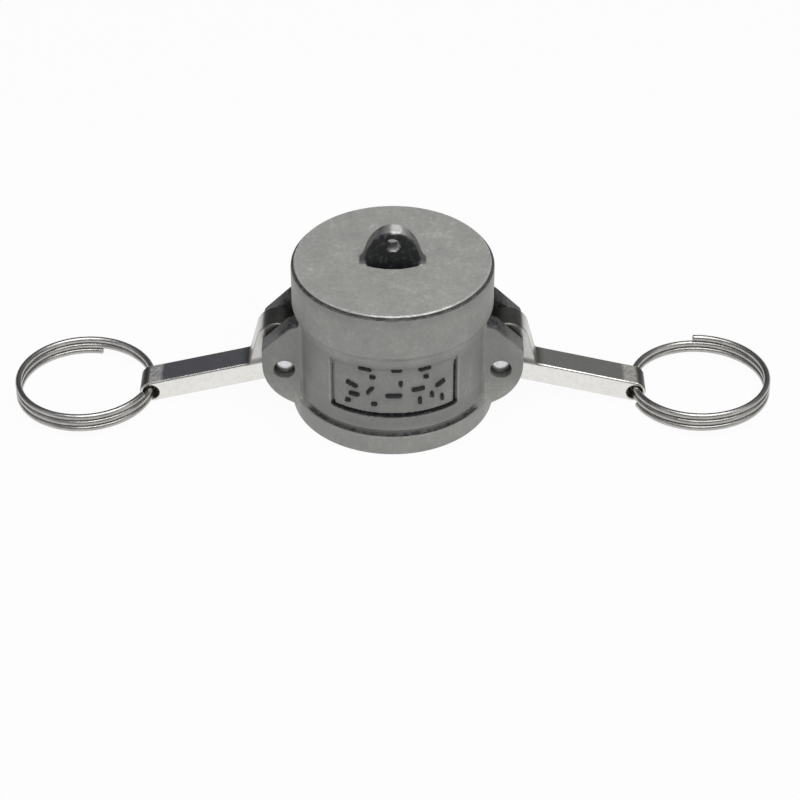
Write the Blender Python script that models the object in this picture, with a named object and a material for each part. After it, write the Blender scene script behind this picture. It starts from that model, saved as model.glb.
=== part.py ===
"""Dust cap for a 1-1/2 inch (DN40) cam and groove adapter, in metres, +Z up.

The cap stands on its mouth, with its closed end and its lanyard lug up. Its origin is the centre
of the mouth rim. Two cam arms hang open along -X and +X, each with a split pull ring in its end.
"""

import math

import bmesh
import bpy
from mathutils import Matrix, Vector

# Adapter that goes into the bowl, and the fits between the pieces
ADAPTER_RADIUS = 0.0267
BORE_CLEARANCE = 0.0003
SEAT_GAP = 0.0003
PIN_FIT = 0.00015
ARM_SIDE_PLAY = 0.0003

# Casting
CAP_HEIGHT = 0.0525
END_WALL = 0.0067
BOWL_WALL = 0.0040
MOUTH_BAND_HEIGHT = 0.0072
MOUTH_BAND_PROUD = 0.0015
MOUTH_CHAMFER = 0.0012
RIM_ROUND = 0.0008
JUNCTION_GROOVE = 0.0008
DRUM_HEIGHT = 0.0160
DRUM_PROUD = 0.0010
DRUM_EDGE_ROUND = 0.0006
END_STEP_WIDTH = 0.0009
END_STEP_DEPTH = 0.0009

# Panel sunk in the front and the back of the waist
PANEL_DEPTH = 0.0009
PANEL_HEIGHT = 0.0196
PANEL_ABOVE_BAND = 0.0066
PANEL_HALF_ANGLE = math.radians(39)

# Gasket
GASKET_THICKNESS = 0.00635
GASKET_WIDTH = 0.00705
GASKET_GROOVE_DEPTH = 0.0010

# Pivots and ears
PIVOT_FROM_BORE = 0.0074
PIVOT_BELOW_GASKET = 0.02115
PIN_RADIUS = 0.003175
PIN_RECESS = 0.0023
PIN_CHAMFER = 0.0006
HOLE_COUNTERSINK = 0.0002
EAR_THICKNESS = 0.0062
EAR_BEYOND_PIVOT = 0.0071
EAR_HEEL_RADIUS = 0.0155
EAR_HEEL_RISE = 0.0010
EAR_HEEL_SWEEP = math.radians(60)
EAR_FACE_HEIGHT = 0.0070
EAR_TOP_RUN = 0.0085
EAR_TOP_ROUND = 0.0025
EAR_EDGE_ROUND = 0.0009
EAR_ROOT_OVERLAP = 0.0008

# Cam arms
ARM_WIDTH = 0.0100
ARM_EDGE_ROUND = 0.0006
ARM_LENGTH = 0.0459
LEVER_THICKNESS = 0.0073
LEVER_FACE_ABOVE_PIVOT = 0.0005
HUB_RADIUS = 0.0070
LOBE_RADIUS = 0.0072
LOBE_ALONG = 0.0005
LOBE_UP = 0.0064
SHOULDER_ALONG = 0.01145
SHOULDER_ROUND = 0.0010
ARM_DROOP = math.radians(13.8)
ARM_SWEEP_GAP = 0.0006

# Split pull rings
WIRE_RADIUS = 0.0010
RING_OUTER_RADIUS = 0.02275
RING_TURNS_LEFT = 2.7
RING_TURNS_RIGHT = 2.7
RING_TURN_GAP = 0.0002
RING_HOLE_CLEARANCE = 0.0005
RING_INSET = 0.0003
RING_PITCH_LEFT = math.radians(0.3)
RING_PITCH_RIGHT = math.radians(1.5)
RING_ROLL_LEFT = 0.0
RING_ROLL_RIGHT = math.radians(-2.5)
RING_END_LEFT = math.radians(-99)
RING_END_RIGHT = math.radians(-161)

# Lanyard lug in its pocket
LUG_HALF_WIDTH = 0.0090
LUG_HEIGHT = 0.0120
LUG_THICKNESS = 0.0056
LUG_FLARE = 0.0012
LUG_FLARE_HEIGHT = 0.0040
LUG_EDGE_ROUND = 0.0012
LUG_EYE_RADIUS = 0.0022
LUG_EYE_HEIGHT = 0.0071
POCKET_DEPTH = 0.0034
POCKET_HALF_WIDTH = 0.0051
POCKET_ARC_RADIUS = 0.0173

# How finely round forms are divided
CAP_SEGMENTS = 72
HOLE_SEGMENTS = 32
ARC_STEPS = 5
COIL_STEPS_PER_TURN = 44
CUT_OVERRUN = 0.002

# Sizes that follow from those above
BORE_RADIUS = ADAPTER_RADIUS + BORE_CLEARANCE
WAIST_RADIUS = BORE_RADIUS + BOWL_WALL
MOUTH_RADIUS = WAIST_RADIUS + MOUTH_BAND_PROUD
DRUM_RADIUS = WAIST_RADIUS + DRUM_PROUD
DRUM_BOTTOM = CAP_HEIGHT - DRUM_HEIGHT
BOWL_TOP = CAP_HEIGHT - END_WALL
GASKET_TOP = BOWL_TOP - SEAT_GAP
GASKET_FACE = GASKET_TOP - GASKET_THICKNESS
GROOVE_RADIUS = BORE_RADIUS + GASKET_GROOVE_DEPTH
GASKET_OUTER_RADIUS = GROOVE_RADIUS - SEAT_GAP
GASKET_INNER_RADIUS = GASKET_OUTER_RADIUS - GASKET_WIDTH
PANEL_BOTTOM = MOUTH_BAND_HEIGHT + PANEL_ABOVE_BAND
PIVOT_X = BORE_RADIUS + PIVOT_FROM_BORE
PIVOT_Z = GASKET_FACE - PIVOT_BELOW_GASKET
EAR_INNER_Y = ARM_WIDTH / 2 + ARM_SIDE_PLAY
EAR_OUTER_Y = EAR_INNER_Y + EAR_THICKNESS
EAR_ROOT_X = math.sqrt(WAIST_RADIUS**2 - EAR_OUTER_Y**2) - EAR_ROOT_OVERLAP
PIN_HOLE_RADIUS = PIN_RADIUS + PIN_FIT
LOBE_REACH = math.hypot(LOBE_ALONG, LOBE_UP) + LOBE_RADIUS
LEVER_MIDDLE = LEVER_FACE_ABOVE_PIVOT - LEVER_THICKNESS / 2
COIL_RADIUS = RING_OUTER_RADIUS - WIRE_RADIUS
COIL_PITCH = 2 * WIRE_RADIUS + RING_TURN_GAP
RING_HOLE_RADIUS = COIL_PITCH / 2 + WIRE_RADIUS + RING_HOLE_CLEARANCE


def clear_scene():
    """Removes what a new scene starts with."""
    for old in list(bpy.data.objects):
        bpy.data.objects.remove(old, do_unlink=True)


def material(name, colour, roughness, metallic):
    """One Principled finish."""
    made = bpy.data.materials.new(name)
    made.use_nodes = True
    shader = made.node_tree.nodes["Principled BSDF"]
    shader.inputs["Base Color"].default_value = (*colour, 1)
    shader.inputs["Roughness"].default_value = roughness
    shader.inputs["Metallic"].default_value = metallic
    return made


def add_object(name, mesh, finish=None):
    """Puts a mesh into the scene under a node's name."""
    made = bpy.data.objects.new(name, mesh)
    bpy.context.scene.collection.objects.link(made)
    if finish:
        mesh.materials.append(finish)
    return made


def add_tool(name, mesh):
    """An object that only shapes another: it is drawn as wire and isn't rendered."""
    made = add_object(name, mesh)
    made.hide_render = True
    made.display_type = "WIRE"
    return made


def shape(target, tool, operation):
    """One Boolean on the target."""
    step = target.modifiers.new(tool.name, "BOOLEAN")
    step.operation = operation
    step.object = tool
    step.solver = "EXACT"


def finished_mesh(name, shell, smooth_below=math.radians(35)):
    """Turns a bmesh into a mesh with its faces out and its round faces smooth."""
    bmesh.ops.remove_doubles(shell, verts=shell.verts, dist=1e-7)
    bmesh.ops.recalc_face_normals(shell, faces=shell.faces)
    mesh = bpy.data.meshes.new(name)
    shell.to_mesh(mesh)
    shell.free()
    mesh.shade_smooth()
    mesh.set_sharp_from_angle(angle=smooth_below)
    return mesh


def arc(centre, radius, start, end, steps=ARC_STEPS):
    """Points round a centre from one angle to another, both in degrees."""
    angles = [math.radians(start + (end - start) * i / steps) for i in range(steps + 1)]
    return [(centre[0] + radius * math.cos(a), centre[1] + radius * math.sin(a)) for a in angles]


def turned(name, profile, segments, sweep=2 * math.pi, start=0.0):
    """Turns a profile of (radius, height) about Z. A part turn is closed by its two end faces."""
    shell = bmesh.new()
    whole = sweep >= 2 * math.pi
    points = [Matrix.Rotation(start, 3, "Z") @ Vector((r, 0, z)) for r, z in profile]
    corners = [shell.verts.new(p) for p in points]
    closed = profile[0][0] > 0 or not whole
    pairs = zip(corners, corners[1:] + corners[:1] if closed else corners[1:])
    lines = [shell.edges.new(pair) for pair in pairs]
    geometry = corners + lines
    if not whole:
        geometry.append(shell.faces.new(corners))
    bmesh.ops.spin(
        shell, geom=geometry, cent=(0, 0, 0), axis=(0, 0, 1), angle=sweep, steps=segments, use_merge=whole
    )
    return finished_mesh(name, shell)


def extruded(name, outline, low, high, edge_round=0.0, round_steps=2):
    """Carries an outline of (x, z) along Y from low to high, with the long edges rounded."""
    shell = bmesh.new()
    near = shell.faces.new([shell.verts.new((x, low, z)) for x, z in outline])
    far = bmesh.ops.extrude_face_region(shell, geom=[near])["geom"]
    moved = [v for v in far if isinstance(v, bmesh.types.BMVert)]
    bmesh.ops.translate(shell, verts=moved, vec=(0, high - low, 0))
    if edge_round:
        ends = [e for e in shell.edges if abs(e.verts[0].co.y - e.verts[1].co.y) < 1e-9]
        bmesh.ops.bevel(
            shell, geom=ends, offset=edge_round, segments=round_steps, profile=0.5, affect="EDGES"
        )
    return finished_mesh(name, shell)


def along_y(mesh):
    """Lays a mesh that was turned about Z along Y."""
    mesh.transform(Matrix.Rotation(math.pi / 2, 4, "X"))
    return mesh


def cap_profile():
    """Half section of the casting: top face in its step, drum, waist, mouth band, bowl and gasket groove."""
    band_round = MOUTH_BAND_PROUD
    shoulder = CAP_HEIGHT - END_STEP_DEPTH
    return [
        (0, CAP_HEIGHT),
        (DRUM_RADIUS - END_STEP_WIDTH, CAP_HEIGHT),
        (DRUM_RADIUS - END_STEP_WIDTH, shoulder),
        *arc((DRUM_RADIUS - DRUM_EDGE_ROUND, shoulder - DRUM_EDGE_ROUND), DRUM_EDGE_ROUND, 90, 0, 4),
        *arc((WAIST_RADIUS, DRUM_BOTTOM + DRUM_PROUD), DRUM_PROUD, 0, -90, 3),
        (WAIST_RADIUS, MOUTH_BAND_HEIGHT + 2 * JUNCTION_GROOVE),
        (WAIST_RADIUS - JUNCTION_GROOVE, MOUTH_BAND_HEIGHT + JUNCTION_GROOVE),
        (WAIST_RADIUS - JUNCTION_GROOVE, MOUTH_BAND_HEIGHT),
        *arc((MOUTH_RADIUS - band_round, MOUTH_BAND_HEIGHT - band_round), band_round, 90, 0, 4),
        *arc((MOUTH_RADIUS - RIM_ROUND, RIM_ROUND), RIM_ROUND, 0, -90, 3),
        (BORE_RADIUS + MOUTH_CHAMFER, 0),
        (BORE_RADIUS, MOUTH_CHAMFER),
        (BORE_RADIUS, GASKET_FACE - SEAT_GAP),
        (GROOVE_RADIUS, GASKET_FACE - SEAT_GAP),
        (GROOVE_RADIUS, BOWL_TOP),
        (0, BOWL_TOP),
    ]


def ear_outline():
    """Side view of an ear: a round heel up from the mouth band, a flat face and a sloping top."""
    outer = PIVOT_X + EAR_BEYOND_PIVOT
    heel = (outer - EAR_HEEL_RADIUS, PIVOT_Z + EAR_HEEL_RISE)
    sweep = math.degrees(EAR_HEEL_SWEEP)
    heel_points = arc(heel, EAR_HEEL_RADIUS, -sweep, 0, 8)
    first = heel_points[0]
    root_low = first[1] - (first[0] - EAR_ROOT_X) / math.tan(EAR_HEEL_SWEEP)
    top = heel[1] + EAR_FACE_HEIGHT
    shift = EAR_TOP_ROUND * math.tan(math.pi / 8)
    slope_end = (outer - EAR_TOP_RUN, top + EAR_TOP_RUN)
    root_high = slope_end[1] + (slope_end[0] - EAR_ROOT_X) / 3
    return [
        (EAR_ROOT_X, root_low),
        *heel_points,
        *arc((outer - EAR_TOP_ROUND, top - shift), EAR_TOP_ROUND, 0, 45, 3),
        slope_end,
        (EAR_ROOT_X, root_high),
    ]


def lug_outline():
    """Half ellipse on a flared foot, down to the pocket's floor."""
    steps = 14
    half = []
    for i in range(steps + 1):
        height = LUG_HEIGHT * math.sin(math.pi / 2 * i / steps)
        flare = LUG_FLARE * max(0.0, 1 - height / LUG_FLARE_HEIGHT) ** 2
        half.append((LUG_HALF_WIDTH * math.cos(math.pi / 2 * i / steps) + flare, CAP_HEIGHT + height))
    foot = (half[0][0], CAP_HEIGHT - POCKET_DEPTH - CUT_OVERRUN / 4)
    right = [foot, *half[:-1]]
    left = [(-x, z) for x, z in reversed(right)]
    return [*right, (0, CAP_HEIGHT + LUG_HEIGHT), *left]


def pocket_mesh():
    """Lens-shaped pocket in the top face, which shows as a half moon on each side of the lug."""
    centre = POCKET_ARC_RADIUS - POCKET_HALF_WIDTH
    foot = LUG_HALF_WIDTH + LUG_FLARE
    reach = math.degrees(math.asin((foot - LUG_EDGE_ROUND) / POCKET_ARC_RADIUS))
    front = arc((0, centre), POCKET_ARC_RADIUS, -90 - reach, -90 + reach, 12)
    back = arc((0, -centre), POCKET_ARC_RADIUS, 90 - reach, 90 + reach, 12)
    mesh = extruded("pocket", [(x, y) for x, y in front + back], 0, POCKET_DEPTH + CUT_OVERRUN)
    mesh.transform(Matrix.Rotation(math.pi / 2, 4, "X"))
    mesh.transform(Matrix.Translation((0, 0, CAP_HEIGHT - POCKET_DEPTH)))
    return mesh


def pin_hole_profile():
    """Radius and place along Y of the hole through a pair of ears, countersunk outside."""
    mouth = PIN_HOLE_RADIUS + HOLE_COUNTERSINK + CUT_OVERRUN
    end = EAR_OUTER_Y + CUT_OVERRUN
    inset = EAR_OUTER_Y - HOLE_COUNTERSINK
    near = [(0, -end), (mouth, -end), (PIN_HOLE_RADIUS, -inset)]
    return near + [(r, -y) for r, y in reversed(near)]


def build_cap(finish):
    """The casting: turned body, four ears, two cam windows, two panels, lug and pocket."""
    cap = add_object("cap_body", turned("cap_body", cap_profile(), CAP_SEGMENTS), finish)
    for side_name, side in (("right", 1), ("left", -1)):
        for place, y in (("front", -1), ("back", 1)):
            low, high = sorted((y * EAR_INNER_Y, y * EAR_OUTER_Y))
            ear = extruded("ear", ear_outline(), low, high, EAR_EDGE_ROUND)
            shape(cap, turn_to(add_tool(f"ear_{side_name}_{place}", ear), side), "UNION")
        shape(cap, turn_to(add_tool(f"window_{side_name}", window_mesh()), side), "DIFFERENCE")
        hole = along_y(turned("pin_hole", pin_hole_profile(), HOLE_SEGMENTS))
        hole.transform(Matrix.Translation((PIVOT_X, 0, PIVOT_Z)))
        shape(cap, turn_to(add_tool(f"pin_hole_{side_name}", hole), side), "DIFFERENCE")
    for place, middle in (("front", -math.pi / 2), ("back", math.pi / 2)):
        shape(cap, add_tool(f"panel_{place}", panel_mesh(middle)), "DIFFERENCE")
    shape(cap, add_tool("lug_pocket", pocket_mesh()), "DIFFERENCE")
    half = LUG_THICKNESS / 2
    lug = extruded("lug", lug_outline(), -half, half, LUG_EDGE_ROUND, 3)
    shape(cap, add_tool("lug", lug), "UNION")
    eye = cylinder_y("lug_eye", LUG_EYE_RADIUS, half + CUT_OVERRUN, (0, CAP_HEIGHT + LUG_EYE_HEIGHT))
    shape(cap, add_tool("lug_eye", eye), "DIFFERENCE")
    return cap


def turn_to(piece, side):
    """Leaves a piece on the right, at side 1, or turns it half round the cap's axis to the left."""
    piece.rotation_euler.z = 0 if side > 0 else math.pi
    return piece


def window_mesh():
    """Opening between two ears, through the bowl's wall, that the hub and the lobe swing in."""
    low = PIVOT_Z - HUB_RADIUS - ARM_SWEEP_GAP
    high = PIVOT_Z + LOBE_REACH + ARM_SWEEP_GAP
    inner = BORE_RADIUS * math.cos(math.asin(EAR_INNER_Y / BORE_RADIUS)) - CUT_OVERRUN
    outer = WAIST_RADIUS + CUT_OVERRUN / 2
    outline = [(inner, low), (outer, low), (outer, high), (inner, high)]
    return extruded("window", outline, -EAR_INNER_Y, EAR_INNER_Y)


def panel_mesh(middle):
    """Sector of a tube that sinks a panel into the waist, centred on an angle."""
    floor = WAIST_RADIUS - PANEL_DEPTH
    outer = WAIST_RADIUS + CUT_OVERRUN
    top = PANEL_BOTTOM + PANEL_HEIGHT
    profile = [(floor, PANEL_BOTTOM), (outer, PANEL_BOTTOM), (outer, top), (floor, top)]
    segments = round(CAP_SEGMENTS * PANEL_HALF_ANGLE / math.pi)
    return turned("panel", profile, segments, 2 * PANEL_HALF_ANGLE, middle - PANEL_HALF_ANGLE)


def build_gasket(finish):
    """Flat rubber ring in the groove at the bowl's end."""
    outer = GASKET_OUTER_RADIUS
    edge = GASKET_THICKNESS / 12
    profile = [
        (GASKET_INNER_RADIUS, GASKET_FACE + edge),
        (GASKET_INNER_RADIUS + edge, GASKET_FACE),
        (outer - edge, GASKET_FACE),
        (outer, GASKET_FACE + edge),
        (outer, GASKET_TOP - edge),
        (outer - edge, GASKET_TOP),
        (GASKET_INNER_RADIUS + edge, GASKET_TOP),
        (GASKET_INNER_RADIUS, GASKET_TOP - edge),
    ]
    return add_object("gasket", turned("gasket", profile, CAP_SEGMENTS), finish)


def pin_mesh():
    """Plain pin with chamfered ends, sunk below both ears."""
    end = EAR_OUTER_Y - PIN_RECESS
    small = PIN_RADIUS - PIN_CHAMFER
    profile = [
        (0, -end),
        (small, -end),
        (PIN_RADIUS, PIN_CHAMFER - end),
        (PIN_RADIUS, end - PIN_CHAMFER),
        (small, end),
        (0, end),
    ]
    return along_y(turned("pivot_pin", profile, HOLE_SEGMENTS))


def arm_outline():
    """Side view of an arm in its own (along, up): hub and lobe, shoulder, lever and round end."""
    bottom = LEVER_FACE_ABOVE_PIVOT - LEVER_THICKNESS
    half = LEVER_THICKNESS / 2
    shoulder = (SHOULDER_ALONG, LEVER_FACE_ABOVE_PIVOT)
    lobe = (LOBE_ALONG, LOBE_UP)
    away = math.hypot(shoulder[0] - lobe[0], shoulder[1] - lobe[1])
    towards = math.atan2(shoulder[1] - lobe[1], shoulder[0] - lobe[0])
    leaves = math.degrees(towards + math.acos(min(1.0, LOBE_RADIUS / away)))
    meets_hub = math.degrees(math.acos(max(-1.0, (-HUB_RADIUS - lobe[0]) / LOBE_RADIUS)))
    flat_from = -180 + math.degrees(math.acos(min(1.0, -bottom / HUB_RADIUS))) + 90
    fillet = (SHOULDER_ALONG + SHOULDER_ROUND, LEVER_FACE_ABOVE_PIVOT + SHOULDER_ROUND)
    return [
        *arc((ARM_LENGTH, LEVER_MIDDLE), half, -90, 90, 10),
        *arc(fillet, SHOULDER_ROUND, 270, 200, 3),
        *arc(lobe, LOBE_RADIUS, leaves, meets_hub, 18),
        *arc((0, 0), HUB_RADIUS, 180, 360 + flat_from - 2 * (flat_from + 90), 9),
    ]


def cylinder_y(name, radius, half_length, place):
    """Plain round cutter along Y at a place of (x, z)."""
    ends = [(0, -half_length), (radius, -half_length), (radius, half_length), (0, half_length)]
    mesh = along_y(turned(name, ends, HOLE_SEGMENTS))
    mesh.transform(Matrix.Translation((place[0], 0, place[1])))
    return mesh


def build_arm(name, pivot, finish):
    """One arm with its pin bore and ring hole. Its origin is on the pin's axis."""
    half = ARM_WIDTH / 2
    arm = add_object(name, extruded(name, arm_outline(), -half, half, ARM_EDGE_ROUND), finish)
    hang(arm, pivot, (0, 0, 0), ARM_DROOP)
    reach = half + CUT_OVERRUN
    holes = (("bore", PIN_HOLE_RADIUS, (0, 0)), ("ring_hole", RING_HOLE_RADIUS, (ARM_LENGTH, LEVER_MIDDLE)))
    for hole_name, radius, place in holes:
        cutter = add_tool(f"{name}_{hole_name}", cylinder_y(hole_name, radius, reach, place))
        hang(cutter, pivot, (0, 0, 0), ARM_DROOP)
        shape(arm, cutter, "DIFFERENCE")
    return arm


def hang(piece, pivot, place, pitch):
    """Parents a piece to a pivot, turned about its Y axis."""
    piece.parent = pivot
    piece.location = place
    piece.rotation_euler.y = pitch


def ring_points(end_angle, turns):
    """Coil of the wire's centre line, whose two lower turns pass the ring hole at the origin."""
    at_hole = (math.pi - end_angle) / (2 * math.pi) + 0.5
    points = []
    for i in range(round(COIL_STEPS_PER_TURN * turns) + 1):
        angle = end_angle + 2 * math.pi * i / COIL_STEPS_PER_TURN
        rise = COIL_PITCH * (i / COIL_STEPS_PER_TURN - at_hole)
        along = COIL_RADIUS * (1 + math.cos(angle)) - RING_INSET
        points.append((along, COIL_RADIUS * math.sin(angle), rise))
    return points


def build_ring(name, pivot, end_angle, turns, pitch, roll, finish):
    """One split ring of round wire. Its origin is in the arm's ring hole, on the axis it swings about."""
    points = ring_points(end_angle, turns)
    wire = bpy.data.curves.new(name, "CURVE")
    wire.dimensions = "3D"
    wire.bevel_depth = WIRE_RADIUS
    wire.bevel_resolution = 3
    wire.use_fill_caps = True
    line = wire.splines.new("POLY")
    line.points.add(len(points) - 1)
    for vertex, point in zip(line.points, points):
        vertex.co = (*point, 1)
    line.use_smooth = True
    wire.materials.append(finish)
    ring = bpy.data.objects.new(name, wire)
    bpy.context.scene.collection.objects.link(ring)
    along, up = ARM_LENGTH, LEVER_MIDDLE
    cos, sin = math.cos(ARM_DROOP), math.sin(ARM_DROOP)
    hang(ring, pivot, (along * cos + up * sin, 0, up * cos - along * sin), -pitch)
    ring.rotation_euler.x = roll
    return ring


def build():
    """Makes every piece where it lies with both arms open."""
    clear_scene()
    cast = material("cast_aluminium", (0.55, 0.55, 0.54), 0.50, 1.0)
    stainless = material("stainless_arm", (0.74, 0.73, 0.70), 0.25, 1.0)
    pin_steel = material("pin_steel", (0.62, 0.62, 0.62), 0.30, 1.0)
    ring_steel = material("ring_steel", (0.50, 0.50, 0.48), 0.30, 1.0)
    rubber = material("black_rubber", (0.02, 0.02, 0.02), 0.70, 0.0)
    build_cap(cast)
    build_gasket(rubber)
    sides = (
        ("right", 1, RING_END_RIGHT, RING_TURNS_RIGHT, RING_PITCH_RIGHT, RING_ROLL_RIGHT),
        ("left", -1, RING_END_LEFT, RING_TURNS_LEFT, RING_PITCH_LEFT, RING_ROLL_LEFT),
    )
    for name, side, end_angle, turns, pitch, roll in sides:
        pivot = bpy.data.objects.new(f"pivot_{name}", None)
        bpy.context.scene.collection.objects.link(pivot)
        pivot.location = (side * PIVOT_X, 0, PIVOT_Z)
        turn_to(pivot, side)
        hang(add_object(f"pivot_pin_{name}", pin_mesh(), pin_steel), pivot, (0, 0, 0), 0)
        build_arm(f"cam_arm_{name}", pivot, stainless)
        build_ring(f"pull_ring_{name}", pivot, end_angle, turns, pitch, roll, ring_steel)


build()
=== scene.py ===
"""Looks of the camlock dust cap: its casting, gasket, cam arms, pivot pins and pull rings.

Each piece stands where the packed model has it. Shapes are worked out in millimetres with numpy
and written to the meshes in metres. The casting and the arms are surfaces of a distance formula,
so that every edge and corner has the fillet of a casting.
"""

import math

import bmesh
import bpy
import numpy as np
from bpy.props import FloatProperty, FloatVectorProperty, IntProperty, PointerProperty
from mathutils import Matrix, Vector


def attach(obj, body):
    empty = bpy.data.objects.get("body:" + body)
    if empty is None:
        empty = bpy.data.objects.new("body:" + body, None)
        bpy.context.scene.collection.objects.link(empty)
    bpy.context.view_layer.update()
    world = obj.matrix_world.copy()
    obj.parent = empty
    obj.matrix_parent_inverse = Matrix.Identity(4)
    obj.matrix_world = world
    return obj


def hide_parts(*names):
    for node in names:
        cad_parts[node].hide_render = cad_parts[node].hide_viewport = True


bl_info = {
    "name": "Camlock dust cap",
    "version": (1, 0, 0),
    "blender": (4, 5, 0),
    "location": "View3D > Sidebar > Dust cap",
    "description": "Casting, gasket, cam arms, pins and pull rings of a cam and groove dust cap",
    "category": "Object",
}

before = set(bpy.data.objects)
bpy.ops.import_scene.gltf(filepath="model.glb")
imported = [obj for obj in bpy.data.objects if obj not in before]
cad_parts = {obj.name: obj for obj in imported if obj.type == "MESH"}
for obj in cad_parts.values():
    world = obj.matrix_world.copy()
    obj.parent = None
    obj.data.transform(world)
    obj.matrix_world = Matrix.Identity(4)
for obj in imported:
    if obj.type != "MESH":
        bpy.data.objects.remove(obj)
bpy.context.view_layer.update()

# Sizes shared with the packed model, in millimetres
CAP_HEIGHT = 52.5
WAIST_RADIUS = 31.0
WAIST_SPAN = (2.0, 50.0)
DRUM_RADIUS = 32.0
DRUM_BOTTOM = 36.5
END_RADIUS = 31.1
END_STEP = 51.6
END_ROOT = 48.0
BAND_RADIUS = 32.5
BAND_HEIGHT = 7.2
BAND_FOOT = 5.2
BAND_LIFT = 0.8
BORE_RADIUS = 27.0
MOUTH_CHAMFER = 1.2
GROOVE_RADIUS = 28.0
GROOVE_RELIEF = 0.3
BOWL_TOP = 45.8
GASKET_FACE = 39.15
GASKET_TOP = 45.5
GASKET_INNER = 20.65
GASKET_OUTER = 27.7
PANEL_FLOOR = 30.1
PANEL_BOTTOM = 13.8
PANEL_TOP = 33.4
PANEL_SLOPE = 2.6
PANEL_REACH = 21.6
PANEL_SHIFT = 0.6
PIVOT = (34.4, 18.0)
PIN_RADIUS = 3.175
PIN_HOLE = 3.325
PIN_END = 9.2
PIN_DOME = 14.25
PIN_EDGE = 0.5
EAR_INNER = 5.3
EAR_OUTER = 11.5
EAR_FACE = 41.5
EAR_ROOT = 28.0
EAR_HEEL = 15.5
EAR_HEEL_LIFT = 1.0
EAR_CORNER = 2.5
EAR_SLOPE = (33.0, 34.5)
EAR_GAP = (8.9, 35.1)
EAR_GAP_FROM = 20.0
WINDOW_WALL = (24.5, 31.6)
WINDOW_SPAN = (10.4, 32.22)
HUB_RADIUS = 7.0
LOBE = (0.5, 6.4, 7.2)
SHOULDER = 11.45
LEVER = (0.5, 7.3, 45.9)
ARM_HALF_WIDTH = 5.0
ARM_DROOP = math.radians(13.8)
RING_HOLE = 2.6
WIRE_RADIUS = 1.0
WIRE_DOME = 0.45
COIL_RADIUS = 21.75
COIL_PITCH = 2.2
RING_INSET = 0.3
RINGS = {
    "right": {"end": -161, "turns": 2.7, "pitch": 1.5, "roll": -2.5},
    "left": {"end": -99, "turns": 2.7, "pitch": 0.3, "roll": 0.0},
}
LUG = {"half_width": 9.0, "height": 12.0, "half_depth": 2.8, "flare": 1.2, "flare_height": 4.0}
EYE = (59.6, 2.2)
POCKET = {"floor": 49.1, "radius": 17.3, "back": 12.2, "half_width": 9.0}

# Grooves above the mouth band and round a panel's edge, in millimetres
LINE = {"radius": 31.35, "height": 7.9, "half": 0.8, "ends": (13.5, 17.5)}
DITCH = {"inset": 0.5, "half": 0.45, "depth": 0.75, "left_depth": 0.25, "closing": 0.8, "fade": (4.0, 1.0)}

# Roundings and fillets, in millimetres
ROUND = {
    "waist": 0.5, "drum": 0.6, "drum_foot": 1.2, "drum_root": 1.1, "end": 0.35, "band_foot": 0.8,
    "band": 1.0, "band_root": 0.3, "line": 0.2, "ear": 0.9, "frame": 0.9, "panel": 0.25, "mark": 0.3,
    "mark_root": 0.2, "bore": 0.6, "seat": 0.3, "mouth": 0.35, "window": 0.5, "window_edge": 0.3,
    "pin_hole": 0.35, "pocket": 0.35, "lug": 1.2, "lug_root": 0.6, "eye": 0.5,
    "arm_bore": 0.25, "arm_hole": 0.45,
}

# How dark the painted shade is in each place, and how bright the worn metal and the painted highlights,
# from 0 to 1
DARK = {
    "step": 0.85, "line": 0.9, "frame_left": 0.1, "frame_right": 0.4, "marks": 1.15,
    "hole": 0.6, "side_shade": 0.17, "waist": 0.15, "below_panel": 0.07, "under_rim": 0.12, "top_edge": 0.6,
    "top": 0.3, "far_top": 0.4, "inside": 0.9, "foot": 0.6,
}
BRIGHT = {"edges": 0.6, "rim_side": 0.25, "eye": 0.9, "side": 0.35, "under": 0.4}
ARM_DARK = {"end": 0.85, "corner": 0.75, "lobe": 0.85, "shoulder": 0.32}

# Lamps, by name: setting of its power and share of it, size and place in metres
LAMPS = {
    "lamp_top": ("top", 1.0, 1.1, (0.1, -0.25, 1.15)),
    "lamp_left": ("side", 0.7, 0.7, (-1.1, -0.5, 0.5)),
    "lamp_right": ("side", 1.35, 0.7, (1.1, -0.5, 0.5)),
}
LAMP_AIM = (0, 0, 0.03)
CAMERA_AIM = (0.00232, 0, -0.0029)
FLOOR_REACH = 4

# Raised cast marks on the front panel: place round the waist, height, half length and turn in degrees
MARK_RADIUS = 0.6
MARKS = (
    (-8.8, 31.4, 1.6, -6), (1.3, 31.6, 1.1, 0), (10.4, 31.2, 1.5, 4), (10.9, 27.9, 0.3, 0),
    (-6.4, 28.4, 0.4, 0), (2.6, 26.2, 0.4, 90), (-13.4, 24.3, 1.5, -16), (-12.6, 20.7, 1.3, 0),
    (-14.9, 17.6, 0.4, 0), (-7.2, 23.2, 1.1, 52), (-5.9, 18.1, 0.4, 0), (0.4, 21.6, 2.1, 0),
    (8.3, 23.6, 1.6, 5), (8.9, 19.0, 0.7, 90), (15.9, 23.9, 1.3, 24), (13.0, 20.4, 0.5, 90),
    (16.6, 18.2, 0.6, 90),
)


def colour(value, name, description):
    """One colour that a user can change."""
    return FloatVectorProperty(
        name=name, description=description, default=value, size=3, min=0, max=1, subtype="COLOR"
    )


def amount(value, name, description, least=0, **limits):
    """One number that a user can change."""
    return FloatProperty(name=name, description=description, default=value, min=least, **limits)


def whole(value, name, description, least, most):
    """One whole number that a user can change."""
    return IntProperty(name=name, description=description, default=value, min=least, max=most)


def length(value, name, description):
    """One length that a user can change, in metres."""
    return amount(value, name, description, unit="LENGTH", precision=5)


def share(value, name, description):
    """One number from 0 to 1 that a user can change."""
    return amount(value, name, description, max=1, subtype="FACTOR")


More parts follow.
